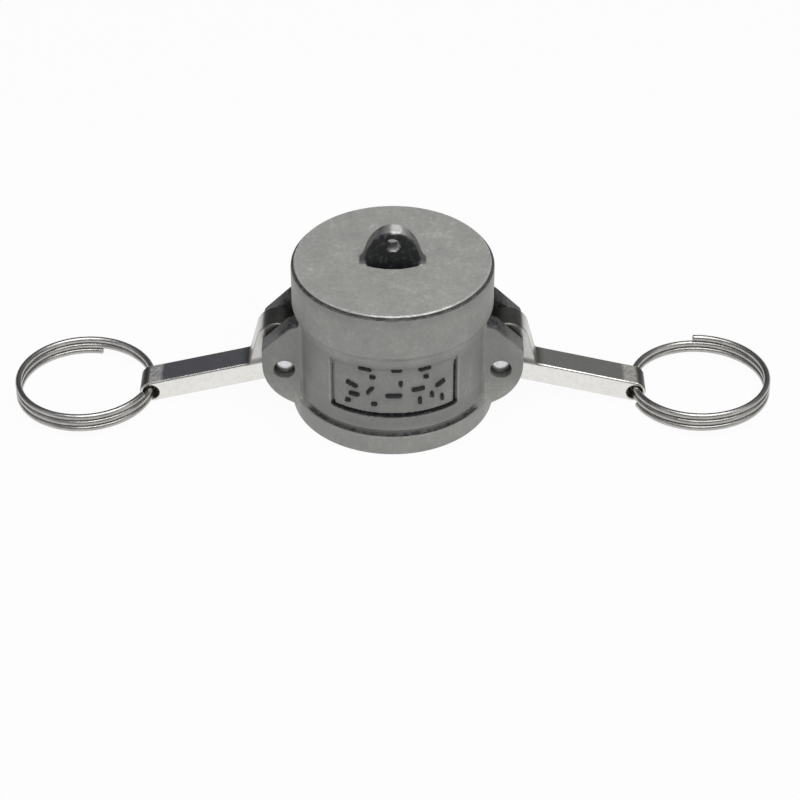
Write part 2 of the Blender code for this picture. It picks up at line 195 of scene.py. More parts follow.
class DustCapCasting(bpy.types.PropertyGroup):
    """Sizes and colours of the casting."""

    metal: colour((0.40, 0.405, 0.38), "Metal", "Colour of the cast aluminium")
    # Colour of the painted shade in hollows and grooves and on the sides of the casting
    grime: colour((0.018, 0.019, 0.021), "Grime", "Colour of the grime in grooves and hollows")
    fleck: colour((0.62, 0.61, 0.58), "Flecks", "Colour of the bright grains of the cast skin")
    # Colour of the polished edges and of the painted highlights
    worn: colour((0.80, 0.80, 0.78), "Worn edges", "Colour of the metal that handling has polished")
    roughness: share(0.5, "Roughness", "Roughness of the cast skin")
    metallic: share(0.3, "Metallic", "How metallic the cast skin looks")
    grain: length(0.00045, "Grain", "Size of the grains of the cast skin")
    grain_depth: length(0.00009, "Grain depth", "Height of the grains of the cast skin")
    cell: length(0.00042, "Cell", "Mesh size before the casting is thinned")
    triangles: whole(188000, "Triangles", "Triangles left after thinning", 1000, 2000000)
    root_fillet: length(0.0013, "Root fillet", "Fillet where the ears grow out of the body")
    mark_height: length(0.0009, "Mark height", "Height of the raised marks on the front panel")


class DustCapArms(bpy.types.PropertyGroup):
    """Sizes and colours of the cam arms."""

    metal: colour((0.80, 0.79, 0.76), "Metal", "Colour of the stainless steel")
    stain: colour((0.34, 0.33, 0.31), "Stain", "Colour of the dull spots")
    # Colour of the painted shade on the arms
    grime: colour((0.05, 0.048, 0.04), "Grime", "Colour of the grime in corners and holes")
    roughness: share(0.2, "Roughness", "Roughness of the steel")
    streak: length(0.0003, "Streak", "Width of the fine streaks along the lever")
    edge: length(0.0008, "Edge", "Rounding of the long edges")
    cell: length(0.00034, "Cell", "Mesh size of an arm")


class DustCapRings(bpy.types.PropertyGroup):
    """Sizes and colours of the split pull rings and the pins."""

    wire: colour((0.50, 0.49, 0.47), "Wire", "Colour of the ring wire")
    wire_roughness: share(0.28, "Wire roughness", "Roughness of the ring wire")
    pin: colour((0.74, 0.74, 0.75), "Pin", "Colour of the pins")
    pin_roughness: share(0.22, "Pin roughness", "Roughness of the pins")
    around: whole(20, "Around", "Points round the wire", 8, 48)
    per_turn: whole(96, "Per turn", "Points along one turn", 24, 240)


class DustCapGasket(bpy.types.PropertyGroup):
    """Sizes and colours of the gasket."""

    rubber: colour((0.022, 0.022, 0.023), "Rubber", "Colour of the rubber")
    dust: colour((0.075, 0.073, 0.07), "Dust", "Colour of the talc and dust on the rubber")
    roughness: share(0.62, "Roughness", "Roughness of the rubber")
    edge: length(0.0004, "Edge", "Rounding of the gasket's edges")


class DustCapStage(bpy.types.PropertyGroup):
    """Floor, lamps and camera."""

    floor: colour((0.62, 0.62, 0.62), "Floor", "Colour of the floor")
    level: share(0.955, "Level", "Share of plain white that the camera sees in the floor")
    top: amount(12.5, "Top lamp", "Power of the lamp above, in watts")
    side: amount(1.0, "Side lamps", "Power that the side lamps have shares of, in watts")
    lens: amount(110.1, "Lens", "Focal length", 10, unit="CAMERA")
    distance: length(0.8, "Distance", "Distance of the camera from its target")
    elevation: amount(
        math.radians(37.47), "Elevation", "Angle of the camera above the floor",
        max=math.pi / 2, subtype="ANGLE",
    )


class Signal:
    """A node socket that takes Python arithmetic. Each operation adds one Math node."""

    def __init__(self, finish, socket):
        self.finish = finish
        self.socket = socket

    def math(self, operation, other=0.0, swapped=False, clamp=False):
        first, second = (other, self) if swapped else (self, other)
        settings = {"operation": operation, "use_clamp": clamp}
        return self.finish.node("ShaderNodeMath", settings, {0: first, 1: second})

    def __add__(self, other):
        return self.math("ADD", other)

    def __radd__(self, other):
        return self.math("ADD", other, True)

    def __sub__(self, other):
        return self.math("SUBTRACT", other)

    def __rsub__(self, other):
        return self.math("SUBTRACT", other, True)

    def __mul__(self, other):
        return self.math("MULTIPLY", other)

    def __rmul__(self, other):
        return self.math("MULTIPLY", other, True)

    def clipped(self):
        return self.math("ADD", 0.0, clamp=True)


class Finish:
    """A material whose nodes are written as Python expressions."""

    def __init__(self, name, tree=None):
        if tree is None:
            self.material = bpy.data.materials.new(name)
            self.material.use_nodes = True
            tree = self.material.node_tree
        self.tree = tree
        self.shader = tree.nodes.get("Principled BSDF")

    def node(self, kind, settings=None, values=None, output=0):
        """Adds a node of any type, sets its settings, then the values or links of its sockets."""
        made = self.tree.nodes.new(kind)
        for key, value in (settings or {}).items():
            setattr(made, key, value)
        for socket, value in (values or {}).items():
            self.feed(made.inputs[socket], value)
        return Signal(self, made.outputs[output])

    def feed(self, socket, value):
        """Links a signal to a socket, or sets its value."""
        if isinstance(value, Signal):
            self.tree.links.new(value.socket, socket)
        elif isinstance(value, tuple) and len(socket.default_value) == 4:
            socket.default_value = (*value, 1)
        else:
            socket.default_value = value

    def noise(self, size, place, detail=2.0, rough=0.5):
        """Noise whose features are about this size in metres."""
        values = {"Vector": place, "Scale": 1 / size, "Detail": detail, "Roughness": rough}
        return self.node("ShaderNodeTexNoise", None, values)

    def place(self, scale=(1, 1, 1), attribute=None):
        """Object coordinates, or a piece's own coordinates, stretched."""
        if attribute:
            start = self.node("ShaderNodeAttribute", {"attribute_name": attribute}, None, "Vector")
        else:
            start = self.node("ShaderNodeTexCoord", None, None, "Object")
        return self.node("ShaderNodeMapping", {"vector_type": "POINT"}, {"Vector": start, "Scale": scale})

    def number(self, attribute):
        """A number that the mesh carries at each point."""
        return self.node("ShaderNodeAttribute", {"attribute_name": attribute}, None, "Fac")

    def ray(self, kind):
        """1 where a ray of this kind arrives."""
        return self.node("ShaderNodeLightPath", None, None, f"Is {kind} Ray")

    def mixed(self, factor, first, second):
        """Colour between two colours."""
        return self.node("ShaderNodeMix", {"data_type": "RGBA"}, {0: factor, 6: first, 7: second}, 2)

    def step(self, signal, low, high):
        """0 below low, 1 above high and smooth between."""
        values = {"Value": signal, "From Min": low, "From Max": high}
        return self.node("ShaderNodeMapRange", {"interpolation_type": "SMOOTHSTEP"}, values)

    def bump(self, height, distance, strength):
        """Normal of a height signal, distance metres high."""
        values = {"Height": height, "Distance": distance, "Strength": strength}
        return self.node("ShaderNodeBump", None, values)

    def wear(self, **sockets):
        """Sets the Principled shader's sockets by name, with underscores for spaces."""
        for name, value in sockets.items():
            self.feed(self.shader.inputs[name.replace("_", " ").title()], value)
        return self.material


# Distance formulas, in millimetres, negative inside


def span(value, low, high):
    """Distance to a span of one direction, negative inside it."""
    return np.abs(value - (low + high) / 2) - (high - low) / 2


def common(a, b, rounding):
    """Intersection of two distances with its edge rounded."""
    outside = np.hypot(np.maximum(rounding + a, 0), np.maximum(rounding + b, 0))
    return np.minimum(-rounding, np.maximum(a, b)) + outside


def joined(a, b, fillet):
    """Union of two distances with a round fillet in the corner between them."""
    return -common(-a, -b, fillet)


def cut(a, b, rounding):
    """The first shape with the second taken out, the new edge rounded."""
    return common(a, -b, rounding)


def rounded_box(a, z, half, low, high, rounding):
    """Distance to a rectangle with round corners, half to each side and from low to high."""
    return common(np.abs(a) - half, span(z, low, high), rounding)


def outline_distance(x, z, corners):
    """Distance to a closed outline, negative where a ray crosses it an odd number of times."""
    nearest, inside = np.inf, False
    for (ax, az), (bx, bz) in zip(corners, np.roll(corners, -1, axis=0)):
        ex, ez, px, pz = bx - ax, bz - az, x - ax, z - az
        t = np.clip((px * ex + pz * ez) / (ex * ex + ez * ez), 0, 1)
        nearest = np.minimum(nearest, (px - t * ex) ** 2 + (pz - t * ez) ** 2)
        if abs(ez) > 1e-9:
            inside = inside ^ (((az > z) != (bz > z)) & (x < ex * pz / ez + ax))
    return np.where(inside, -1.0, 1.0) * np.sqrt(nearest)


def arc(centre, radius, start, end, steps):
    """Points round a centre from one angle to another, in degrees."""
    angles = np.radians(np.linspace(start, end, steps + 1))
    return np.stack([centre[0] + radius * np.cos(angles), centre[1] + radius * np.sin(angles)], axis=1)


def ear_outline():
    """Side view of an ear: a round heel, a flat face and a sloping top."""
    heel = (EAR_FACE - EAR_HEEL, PIVOT[1] + EAR_HEEL_LIFT)
    low = arc(heel, EAR_HEEL, -60, 0, 18)
    foot = (EAR_ROOT, low[0][1] - (low[0][0] - EAR_ROOT) / math.tan(math.radians(60)))
    top = EAR_SLOPE[1] - (EAR_FACE - EAR_SLOPE[0])
    corner = (EAR_FACE - EAR_CORNER, top - EAR_CORNER * math.tan(math.pi / 8))
    root = (EAR_ROOT, EAR_SLOPE[1] + (EAR_SLOPE[0] - EAR_ROOT) / 3)
    return np.concatenate([[foot], low, arc(corner, EAR_CORNER, 0, 45, 8), [EAR_SLOPE, root]])


def lug_outline():
    """Right half of an ellipse on a flared foot: the flare dies away as the square of the height left."""
    turn = np.linspace(0, math.pi / 2, 25)
    height = LUG["height"] * np.sin(turn)
    flare = LUG["flare"] * np.maximum(0, 1 - height / LUG["flare_height"]) ** 2
    half = np.stack([LUG["half_width"] * np.cos(turn) + flare, CAP_HEIGHT + height], axis=1)
    foot = (half[0][0], POCKET["floor"] - 1)
    return np.concatenate([[foot], half, [(-20, half[-1][1]), (-20, foot[1])]])


def marks_view(along, z):
    """Distance to the marks' middle lines in the unrolled panel."""
    nearest = np.inf
    for place, level, half, turn in MARKS:
        a, b = turned_by(-turn, along - place, z - level)
        nearest = np.minimum(nearest, (a - np.clip(a, -half, half)) ** 2 + b**2)
    return np.sqrt(nearest)


def along_waist(x, y):
    """Way round the waist from its middle, at front or back."""
    return np.arctan2(x, np.abs(y)) * WAIST_RADIUS


def panel_view(along, z):
    """Distance to the panel's frame in the unrolled waist."""
    return rounded_box(along - PANEL_SHIFT, z, PANEL_REACH, PANEL_BOTTOM, PANEL_TOP, ROUND["frame"])


def ramp(value, low, high):
    """0 at low, 1 at high and smooth between."""
    t = np.clip((value - low) / (high - low), 0, 1)
    return t * t * (3 - 2 * t)


def turned_body(r, z):
    """Waist, drum, end face and mouth band, joined."""
    waist = rounded_box(r, z, WAIST_RADIUS, *WAIST_SPAN, ROUND["waist"])
    drum = common(common(r - DRUM_RADIUS, z - END_STEP, ROUND["drum"]), DRUM_BOTTOM - z, ROUND["drum_foot"])
    face = np.maximum(common(r - END_RADIUS, z - CAP_HEIGHT, ROUND["end"]), END_ROOT - z)
    band = np.minimum(
        rounded_box(r, z, BAND_RADIUS, 0, BAND_FOOT, ROUND["band_foot"]),
        rounded_box(r, z, BAND_RADIUS, BAND_LIFT, BAND_HEIGHT, ROUND["band"]),
    )
    return np.minimum(joined(joined(waist, drum, ROUND["drum_root"]), band, ROUND["band_root"]), face)


def bowl(r, z):
    """Bore, gasket groove and the chamfer of the mouth."""
    bore = rounded_box(r, z, BORE_RADIUS, -5, BOWL_TOP, ROUND["bore"])
    groove = rounded_box(r, z, GROOVE_RADIUS, GASKET_FACE - GROOVE_RELIEF, BOWL_TOP, ROUND["seat"])
    chamfer = np.maximum((r + z - BORE_RADIUS - MOUTH_CHAMFER) * 0.7071, z - 3)
    return np.minimum(np.minimum(bore, groove), chamfer)


def casting_distance(root_fillet, mark_height):
    """Formula of the casting: ears, marks and lug join the turned body, the rest is cut out of it."""
    ear, lug = ear_outline(), lug_outline()

    def distance(x, y, z):
        r, ax, ay = np.sqrt(x * x + y * y), np.abs(x), np.abs(y)
        body = turned_body(r, z)
        line = np.sqrt((r - LINE["radius"]) ** 2 + (z - LINE["height"]) ** 2)
        body = cut(body, line - LINE["half"] * ramp(ay, *LINE["ends"]), ROUND["line"])
        side = common(outline_distance(ax, z, ear), span(ay, EAR_INNER, EAR_OUTER), ROUND["ear"])
        body = joined(body, side, root_fillet)
        gap = np.maximum(np.maximum(ay - EAR_INNER, WAIST_RADIUS - r), span(z, *EAR_GAP))
        body = np.maximum(body, -np.maximum(gap, EAR_GAP_FROM - ax))
        along = along_waist(x, y)
        view = panel_view(along, z)
        floor = PANEL_FLOOR + (WAIST_RADIUS - PANEL_FLOOR) * ramp(z, PANEL_TOP - PANEL_SLOPE, PANEL_TOP)
        far, near = (PANEL_TOP - fade for fade in DITCH["fade"])
        ditch = np.abs(view + DITCH["inset"]) - DITCH["half"]
        ditch = ditch + DITCH["closing"] * np.clip((z - far) / (near - far), 0, 1)
        left = (y < 0) * ramp(x, -14, -18) * ramp(z, PANEL_BOTTOM + 0.8, PANEL_BOTTOM + 2.4)
        depth = DITCH["depth"] + (DITCH["left_depth"] - DITCH["depth"]) * left
        ditch = np.maximum(ditch, PANEL_FLOOR - depth - r)
        body = cut(body, np.minimum(common(view, floor - r, ROUND["panel"]), ditch), ROUND["panel"])
        marks = common(marks_view(along, z) - MARK_RADIUS, r - floor - mark_height, ROUND["mark"])
        marks = np.maximum(np.maximum(marks, BORE_RADIUS + 1.5 - r), y + 20)
        body = joined(body, marks, ROUND["mark_root"])
        body = cut(body, bowl(r, z), ROUND["mouth"])
        window = rounded_box(y, z, EAR_INNER, *WINDOW_SPAN, ROUND["window"])
        body = cut(body, np.maximum(window, span(ax, *WINDOW_WALL)), ROUND["window_edge"])
        hole = np.sqrt((ax - PIVOT[0]) ** 2 + (z - PIVOT[1]) ** 2) - PIN_HOLE
        body = cut(body, hole, ROUND["pin_hole"])
        lens = np.sqrt(x * x + (ay + POCKET["back"]) ** 2) - POCKET["radius"]
        lens = np.maximum(lens, ax - POCKET["half_width"])
        body = cut(body, np.maximum(lens, POCKET["floor"] - z), ROUND["pocket"])
        tab = common(outline_distance(ax, z, lug), ay - LUG["half_depth"], ROUND["lug"])
        body = joined(body, tab, ROUND["lug_root"])
        eye = np.maximum(np.sqrt(x * x + (z - EYE[0]) ** 2) - EYE[1], ay - 6)
        return cut(body, eye, ROUND["eye"])

    return distance


def painted_shade_share(points, hollow):
    """How much painted shade each point of the casting has: hollows, step, lines, marks, holes, ears, lug.
    """
    x, y, z = points.T
    r, ax, ay = np.hypot(x, y), np.abs(x), np.abs(y)
    along = along_waist(x, y)
    outside = r > BORE_RADIUS + 1
    # Painted shade in the step under the end face's rim
    step = ramp(z, END_STEP - 0.4, END_STEP - 0.15) * ramp(z, CAP_HEIGHT - 0.15, CAP_HEIGHT - 0.4)
    step = DARK["step"] * step * (r > END_RADIUS - 0.3)
    # Painted shade in the groove above the mouth band
    line = DARK["line"] * ramp(np.hypot(r - 31.45, z - 7.6), 1.1, 0.7) * ramp(ay, 15, 18)
    view = panel_view(along, z)
    sunk = ramp(r, WAIST_RADIUS + 0.1, WAIST_RADIUS - 0.2) * outside
    # Painted shade in the groove round the panel: full along the bottom, faint on the left side, stronger
    # on the right
    low_edge = ramp(z, PANEL_BOTTOM + 2.5, PANEL_BOTTOM + 0.8)
    sides = np.where(x > 0, DARK["frame_right"], DARK["frame_left"])
    frame_line = sunk * ramp(np.abs(view + 0.45), 0.85, 0.4) * ramp(z, PANEL_TOP - 0.5, PANEL_TOP - 3)
    frame_line *= low_edge + (1 - low_edge) * sides
    # Painted shade on the raised marks, set above their middle lines so their lower edges stay light
    marks = DARK["marks"] * outside * (y < 0) * ramp(marks_view(along, z - 0.4), 0.95, 0.4)
    # Painted shade inside the pin holes
    hole = DARK["hole"] * (np.hypot(ax - PIVOT[0], z - PIVOT[1]) < PIN_HOLE + 0.05)
    # Painted shade in hollows, from how enclosed each point is
    shares = [ramp(hollow, 0.34, 0.95), step, line, frame_line, marks, hole]
    return np.max(shares + ear_shares(ax, y, z, r) + lug_shares(x, ay, z), axis=0)


def ear_shares(ax, y, z, r):
    """Painted shade over the outside but the end face, deeper on the waist, below the panels and under the
    rim, less low on the ears; and painted shade on the ears' tops and insides.
    """
    ay = np.abs(y)
    ear = (ax > 29.5) & (ay > EAR_INNER - 0.3) & (r > WAIST_RADIUS + 0.3) & (z < DRUM_BOTTOM - 0.1)
    # Painted shade over the whole outside but the end face, deeper on the waist, below the panels and under
    # the rim
    side_shade = DARK["side_shade"] + DARK["waist"] * ramp(z, 8.6, 10) * ramp(z, PANEL_TOP + 1.6, PANEL_TOP - 0.8)
    side_shade += DARK["under_rim"] * ramp(z, END_STEP - 4, END_STEP - 0.6)
    side_shade += DARK["below_panel"] * ramp(z, 8.6, 9.5) * ramp(z, PANEL_BOTTOM + 1, PANEL_BOTTOM)
    side_shade *= (r > BORE_RADIUS + 1) * (z < END_STEP - 0.3)
    side_shade *= 1 - 0.7 * ear * ramp(z, PIVOT[1] - 1, PIVOT[1] - 7)
    # Painted shade along the ears' sloping tops, more on the far ears, and on their inner faces
    crown = EAR_SLOPE[1] + (EAR_SLOPE[0] - ax) / 3 - z
    below_top = np.minimum((sum(EAR_SLOPE) - ax - z) * 0.707, crown * 0.949)
    tops = DARK["top_edge"] * ramp(below_top, 1.3, 0.4)
    tops = ear * (tops + DARK["top"] * ramp(below_top, 5, 2) * ramp(ax, 38, 34))
    tops += DARK["far_top"] * ear * (y > 0) * ramp(below_top, 5.5, 1) * (1 - tops)
    inside = DARK["inside"] * ear * ramp(ay, EAR_INNER + 1.1, EAR_INNER + 0.3) * ramp(z, 7.4, 8.6)
    return [side_shade, tops, inside]


def lug_shares(x, ay, z):
    """Painted shade on the lug, in its pocket and round its feet, less where painted light falls on the
    crest and the eye's foot.
    """
    ax = np.abs(x)
    # Painted shade on the lug's faces and in its pocket, lifted on the top band near the crest and at the
    # eye's foot, where painted light goes
    lens = ramp(np.hypot(x, ay + POCKET["back"]) - POCKET["radius"], 0.2, -0.2) * (z > 48.5)
    lug = lens * np.maximum(ax < POCKET["half_width"] + 0.3, z > CAP_HEIGHT + 0.15)
    crest_light = 0.25 + 0.35 * ramp(np.abs(x - 1.5), 5.0, 2.4) + 0.4 * ramp(np.abs(x - 1.7), 3.0, 1.2)
    from_eye = np.hypot(x, z - EYE[0]) - EYE[1]
    lug *= 1 - ramp(ay, LUG["half_depth"] - 0.1, LUG["half_depth"] - 0.9) * crest_light * (from_eye > 0.6)
    lug *= 1 - 0.9 * (from_eye < 0.12) * eye_foot(x, z)
    # Painted shade round the lug's feet at the pocket's ends
    foot = DARK["foot"] * (z > 52) * ramp(z, 54.5, 53.5) * (ax > 8.5)
    foot *= ramp(np.hypot(np.maximum(ax - 9.6, 0), np.maximum(ay - 2.2, 0)), 1.3, 0.4)
    return [lug, foot]


def eye_foot(x, z):
    """The lower right part of the eye, where a painted light spot goes."""
    return ramp(x, -2.2, 0.8) * ramp(z, EYE[0] + 0.6, EYE[0] - 0.6)


def wear_and_highlight_share(distance, points, normals, grime):
    """How bright each point is with worn metal and painted highlights: polished edges, and painted
    highlights on the end rim, lug's crest, its eye's foot, panel frames and under the marks.
    """
    sharp = np.clip(1 + distance(*(points - 0.6 * normals).T) / 0.6, 0, 1)
    x, y, z = points.T
    r = np.hypot(x, y)
    along = along_waist(x, y)
    # edges: polished edges; rim, crest, eye, side and under: painted highlights on the end rim at the
    # front, the lug's crest, the eye's foot, the panel frames and under the marks
    edges = BRIGHT["edges"] * ramp(sharp, 0.3, 0.8) * (1 - grime) * (r > 18) * (z < END_STEP - 1.5)
    front = (y < 0) * ramp(x, -10, -4) * ramp(x, 23, 17)
    rim = (np.abs(r - END_RADIUS + 0.1) < 0.5) * ramp(z, CAP_HEIGHT - 0.35, CAP_HEIGHT - 0.15)
    rim = rim * (BRIGHT["rim_side"] + (1 - BRIGHT["rim_side"]) * front)
    crest = ramp(z, 63.6, 64.1) * ramp(np.abs(x - 1.7), 2.9, 1.0)
    eye = BRIGHT["eye"] * (np.hypot(x, z - EYE[0]) < EYE[1] + 0.12) * (z > 55) * eye_foot(x, z)
    side = ramp(np.abs(panel_view(along, z) - 0.4), 0.5, 0.2) * (np.abs(z - 23) < 8)
    side = BRIGHT["side"] * side * (r > WAIST_RADIUS - 0.3)
    under = ramp(marks_view(along, z + 0.55), 0.75, 0.45) * (r > PANEL_FLOOR - 0.3) * (y < 0)
    low = (r > BORE_RADIUS + 1) * (z < PANEL_TOP) * (1 - grime)
    return np.max([edges, rim, crest, eye, side * low, BRIGHT["under"] * under * low], axis=0)


def finish_shares(distance, points):
    """Painted shade, and wear with painted highlights, at each point of the casting, with the point on the
    surface and its normal.
    """
    points, normals = settled(distance, points, 0.1)
    grime = painted_shade_share(points, hollow_share(distance, points, normals))
    return grime, wear_and_highlight_share(distance, points, normals, grime), points, normals


def arm_outline():
    """Side view of an arm: round end, lever, shoulder, lobe and hub, along and up from the pin."""
    face, thick, reach = LEVER
    along, up, radius = LOBE
    away, rise = SHOULDER - along, face - up
    leaves = math.degrees(math.atan2(rise, away) + math.acos(radius / math.hypot(away, rise)))
    low = math.degrees(math.acos((thick - face) / HUB_RADIUS))
    return np.concatenate([
        arc((reach, face - thick / 2), thick / 2, -90, 90, 32),
        arc((SHOULDER + 1, face + 1), 1, 270, 200, 8),
        arc((along, up), radius, leaves, 180, 48),
        arc((0, 0), HUB_RADIUS, 180, 270 - low, 24),
    ])


def arm_distance(edge):
    """Formula of an arm: its side view carried across, less the pin's bore and the ring's hole."""
    outline = arm_outline()
    face, thick, reach = LEVER

    def distance(u, y, v):
        body = common(outline_distance(u, v, outline), np.abs(y) - ARM_HALF_WIDTH, edge)
        body = cut(body, np.hypot(u, v) - PIN_HOLE, ROUND["arm_bore"])
        return cut(body, np.hypot(u - reach, v - face + thick / 2) - RING_HOLE, ROUND["arm_hole"])

    return distance


def arm_shares(distance, places, normals):
    """Painted shade in an arm's hollows and on its end, corner, shoulder and lobe, and where the ring rubs
    the top.
    """
    u, y, v = places.T
    flat = ramp(np.abs(y), ARM_HALF_WIDTH - 0.05, ARM_HALF_WIDTH - 0.5)
    # Painted shade on the lever's end face, the corner by the shoulder, the lobe's top and the shoulder
    end = ARM_DARK["end"] * ramp(u, 45.8, 46.6) * ramp(v, -5.5, -4) * flat
    corner = ARM_DARK["corner"] * ramp(u, 15.2, 12.2) * ramp(v, -0.4, 0.2) * ramp(v, 3.5, 1.0)
    lobe = ARM_DARK["lobe"] * ramp(u, 5.0, 3.0) * ramp(v, 5, 8)
    shoulder = ARM_DARK["shoulder"] * ramp(u, 13.5, 12) * ramp(v, 0.5, 1.5)
    hollow = ramp(hollow_share(distance, places, normals), 0.3, 0.95)
    rub = ramp(u, 40.6, 42.8) * ramp(u, 46.0, 45.0) * (v > 0.2) * flat
    return {"grime": np.max([hollow, end, corner, lobe, shoulder], axis=0), "rub": rub}


def surface_of(distance, low, high, cell):
    """Mesh of where a distance formula is zero.

    Each grid cell that the surface crosses gets one point, the mean of the places where its edges
    cross; each grid edge that crosses gets the quad of its four cells. Newton steps along the
    formula's slope then bring every point onto the surface.
    """
    axes = [np.arange(a - 1.5 * cell, b + 2.5 * cell, cell, dtype=np.float32) for a, b in zip(low, high)]
    field = distance(axes[0][:, None, None], axes[1][None, :, None], axes[2][None, None, :])
    inside = field < 0
    shape = np.array(field.shape) - 1
    corners = [np.array(c) for c in np.ndindex(2, 2, 2)]
    count = sum(inside[tuple(slice(o, o + n) for o, n in zip(c, shape))].astype(np.int8) for c in corners)
    active = (count > 0) & (count < 8)
    number = np.full(active.shape, -1, np.int64)
    number[active] = np.arange(active.sum())
    cells = np.argwhere(active)
    total, hits = np.zeros((len(cells), 3)), np.zeros(len(cells))
    for axis in range(3):
        step = np.eye(3, dtype=int)[axis]
        for start in (c for c in corners if c[axis] == 0):
            a = field[tuple((cells + start).T)]
            b = field[tuple((cells + start + step).T)]
            crossed = (a < 0) != (b < 0)
            t = a[crossed] / (a[crossed] - b[crossed])
            total[crossed] += start + t[:, None] * step
            hits[crossed] += 1
    points = np.array([a[0] for a in axes]) + cell * (cells + total / hits[:, None])
    quads = []
    for axis in range(3):
        step = np.eye(3, dtype=int)
        b, c = step[(axis + 1) % 3], step[(axis + 2) % 3]
        here = inside[tuple(slice(0, n) for n in shape)]
        ahead = inside[tuple(slice(o, o + n) for o, n in zip(step[axis], shape))]
        for way in (True, False):
            at = np.argwhere((here == way) & (ahead != way))
            at = at[(at[:, (axis + 1) % 3] > 0) & (at[:, (axis + 2) % 3] > 0)]
            around = [number[tuple((at - s).T)] for s in (b + c, c, 0 * b, b)]
            quads.append(np.stack(around if way else around[::-1], axis=1))
    quads = np.concatenate(quads)
    for _ in range(3):
        points = settled(distance, points, 0.6 * cell)[0]
    return points, quads[(quads >= 0).all(axis=1)]


def settled(distance, points, most):
    """One Newton step that brings points onto the surface, and the unit slope that it goes along."""
    slopes = []
    for axis in range(3):
        reach = 0.03 * np.eye(3, dtype=points.dtype)[axis]
        slopes.append((distance(*(points + reach).T) - distance(*(points - reach).T)) / 0.06)
    slope = np.stack(slopes, axis=1)
    size = np.sqrt((slope**2).sum(axis=1)) + 1e-6
    slope /= size[:, None]
    step = np.clip(distance(*points.T) / np.maximum(size, 0.3), -most, most)
    return points - step[:, None] * slope, slope


def hollow_share(distance, points, normals):
    """How enclosed each point is: how far the formula falls short of the way gone along the normal."""
    short = 0.0
    for way, weight in ((0.6, 0.45), (1.3, 0.35), (3.0, 0.2)):
        short = short + weight * np.clip(1 - distance(*(points + way * normals).T) / way, 0, 1)
    return short


def grid_quads(rows, columns, round_rows=False):
    """Quads of a grid of points whose columns close into a ring."""
    i, j = np.meshgrid(np.arange(rows if round_rows else rows - 1), np.arange(columns), indexing="ij")
    after, beside = (i + 1) % rows, (j + 1) % columns
    i, after = i * columns, after * columns
    return np.stack([i + j, after + j, after + beside, i + beside], axis=-1).reshape(-1, 4)


def turned(profile, segments, round_rows):
    """Surface of revolution about Z: point = (r cos a, r sin a, z) for each (r, z) of the profile."""
    angles = np.arange(segments) * 2 * math.pi / segments
    r, z = profile[:, :1], profile[:, 1:]
    points = np.stack([r * np.cos(angles), r * np.sin(angles), z + 0 * angles], axis=-1)
    return points.reshape(-1, 3), grid_quads(len(profile), segments, round_rows)


def coil(side, around, per_turn):
    """Wire along a helix: the section's circle lies across the path, and shrinks to a dome at each end."""
    ring = RINGS[side]
    start = math.radians(ring["end"])
    at_hole = (math.pi - start) / (2 * math.pi) + 0.5
    count = round(ring["turns"] * per_turn)
    turn = np.linspace(0, ring["turns"], count + 1)
    angle = start + 2 * math.pi * turn
    out = np.stack([np.cos(angle), np.sin(angle), 0 * angle], axis=1)
    centre = COIL_RADIUS * (out + (1, 0, 0))
    centre[:, 0] -= RING_INSET
    centre[:, 2] = COIL_PITCH * (turn - at_hole)
    rise = COIL_PITCH / (2 * math.pi * COIL_RADIUS)
    ahead = np.stack([-np.sin(angle), np.cos(angle), 0 * angle + rise], axis=1)
    ahead /= np.linalg.norm(ahead, axis=1)[:, None]
    lean = np.linspace(0, math.pi / 2, 7)
    rows = np.clip(np.arange(-6, count + 7), 0, count)
    swell, sink = np.sin(lean), WIRE_DOME * (1 - np.cos(lean))
    radius = WIRE_RADIUS * np.concatenate([swell, np.ones(count - 1), swell[::-1]])
    shift = np.concatenate([sink, np.zeros(count - 1), -sink[::-1]])
    centre = centre[rows] + ahead[rows] * shift[:, None]
    across = np.cross(ahead, out)[rows]
    phi = (np.arange(around) * 2 * math.pi / around)[None, :, None]
    ringed = np.cos(phi) * out[rows][:, None, :] + np.sin(phi) * across[:, None, :]
    x, y, z = (centre[:, None, :] + radius[:, None, None] * ringed).reshape(-1, 3).T
    y, z = turned_by(ring["roll"], y, z)
    x, z = turned_by(ring["pitch"], x, z)
    face, thick, reach = LEVER
    points = np.stack([x, y, z], axis=1) + on_arm(np.array([[reach, 0, face - thick / 2]]), "right")
    if side == "left":
        points = points * (-1, -1, 1)
    return points, grid_quads(len(rows), around)


def turned_by(degrees, a, b):
    """Two coordinates turned by an angle about the third."""
    c, s = math.cos(math.radians(degrees)), math.sin(math.radians(degrees))
    return c * a - s * b, s * a + c * b


def on_arm(points, side):
    """From an arm's own (along, across, up) to the frame: the droop, and half a turn for the left."""
    c, s = math.cos(ARM_DROOP), math.sin(ARM_DROOP)
    u, y, v = points.T
    placed = np.stack([PIVOT[0] + u * c + v * s, y, PIVOT[1] + v * c - u * s], axis=1)
    return placed * (-1, -1, 1) if side == "left" else placed


def mesh_of(name, points, quads):
    """Writes points and quads to a mesh with its faces out."""
    a, b, c, d = (points[quads[:, k]] for k in range(4))
    if (np.einsum("ij,ij->i", a, np.cross(b, c)) + np.einsum("ij,ij->i", a, np.cross(c, d))).sum() < 0:
        quads = quads[:, ::-1]
    mesh = bpy.data.meshes.new(name)
    mesh.vertices.add(len(points))
    mesh.vertices.foreach_set("co", (points * 0.001).astype(np.float32).ravel())
    mesh.loops.add(quads.size)
    mesh.loops.foreach_set("vertex_index", quads.astype(np.int32).ravel())
    mesh.polygons.add(len(quads))
    mesh.polygons.foreach_set("loop_start", np.arange(0, quads.size, 4, dtype=np.int32))
    mesh.update(calc_edges=True)
    mesh.shade_smooth()
    return mesh


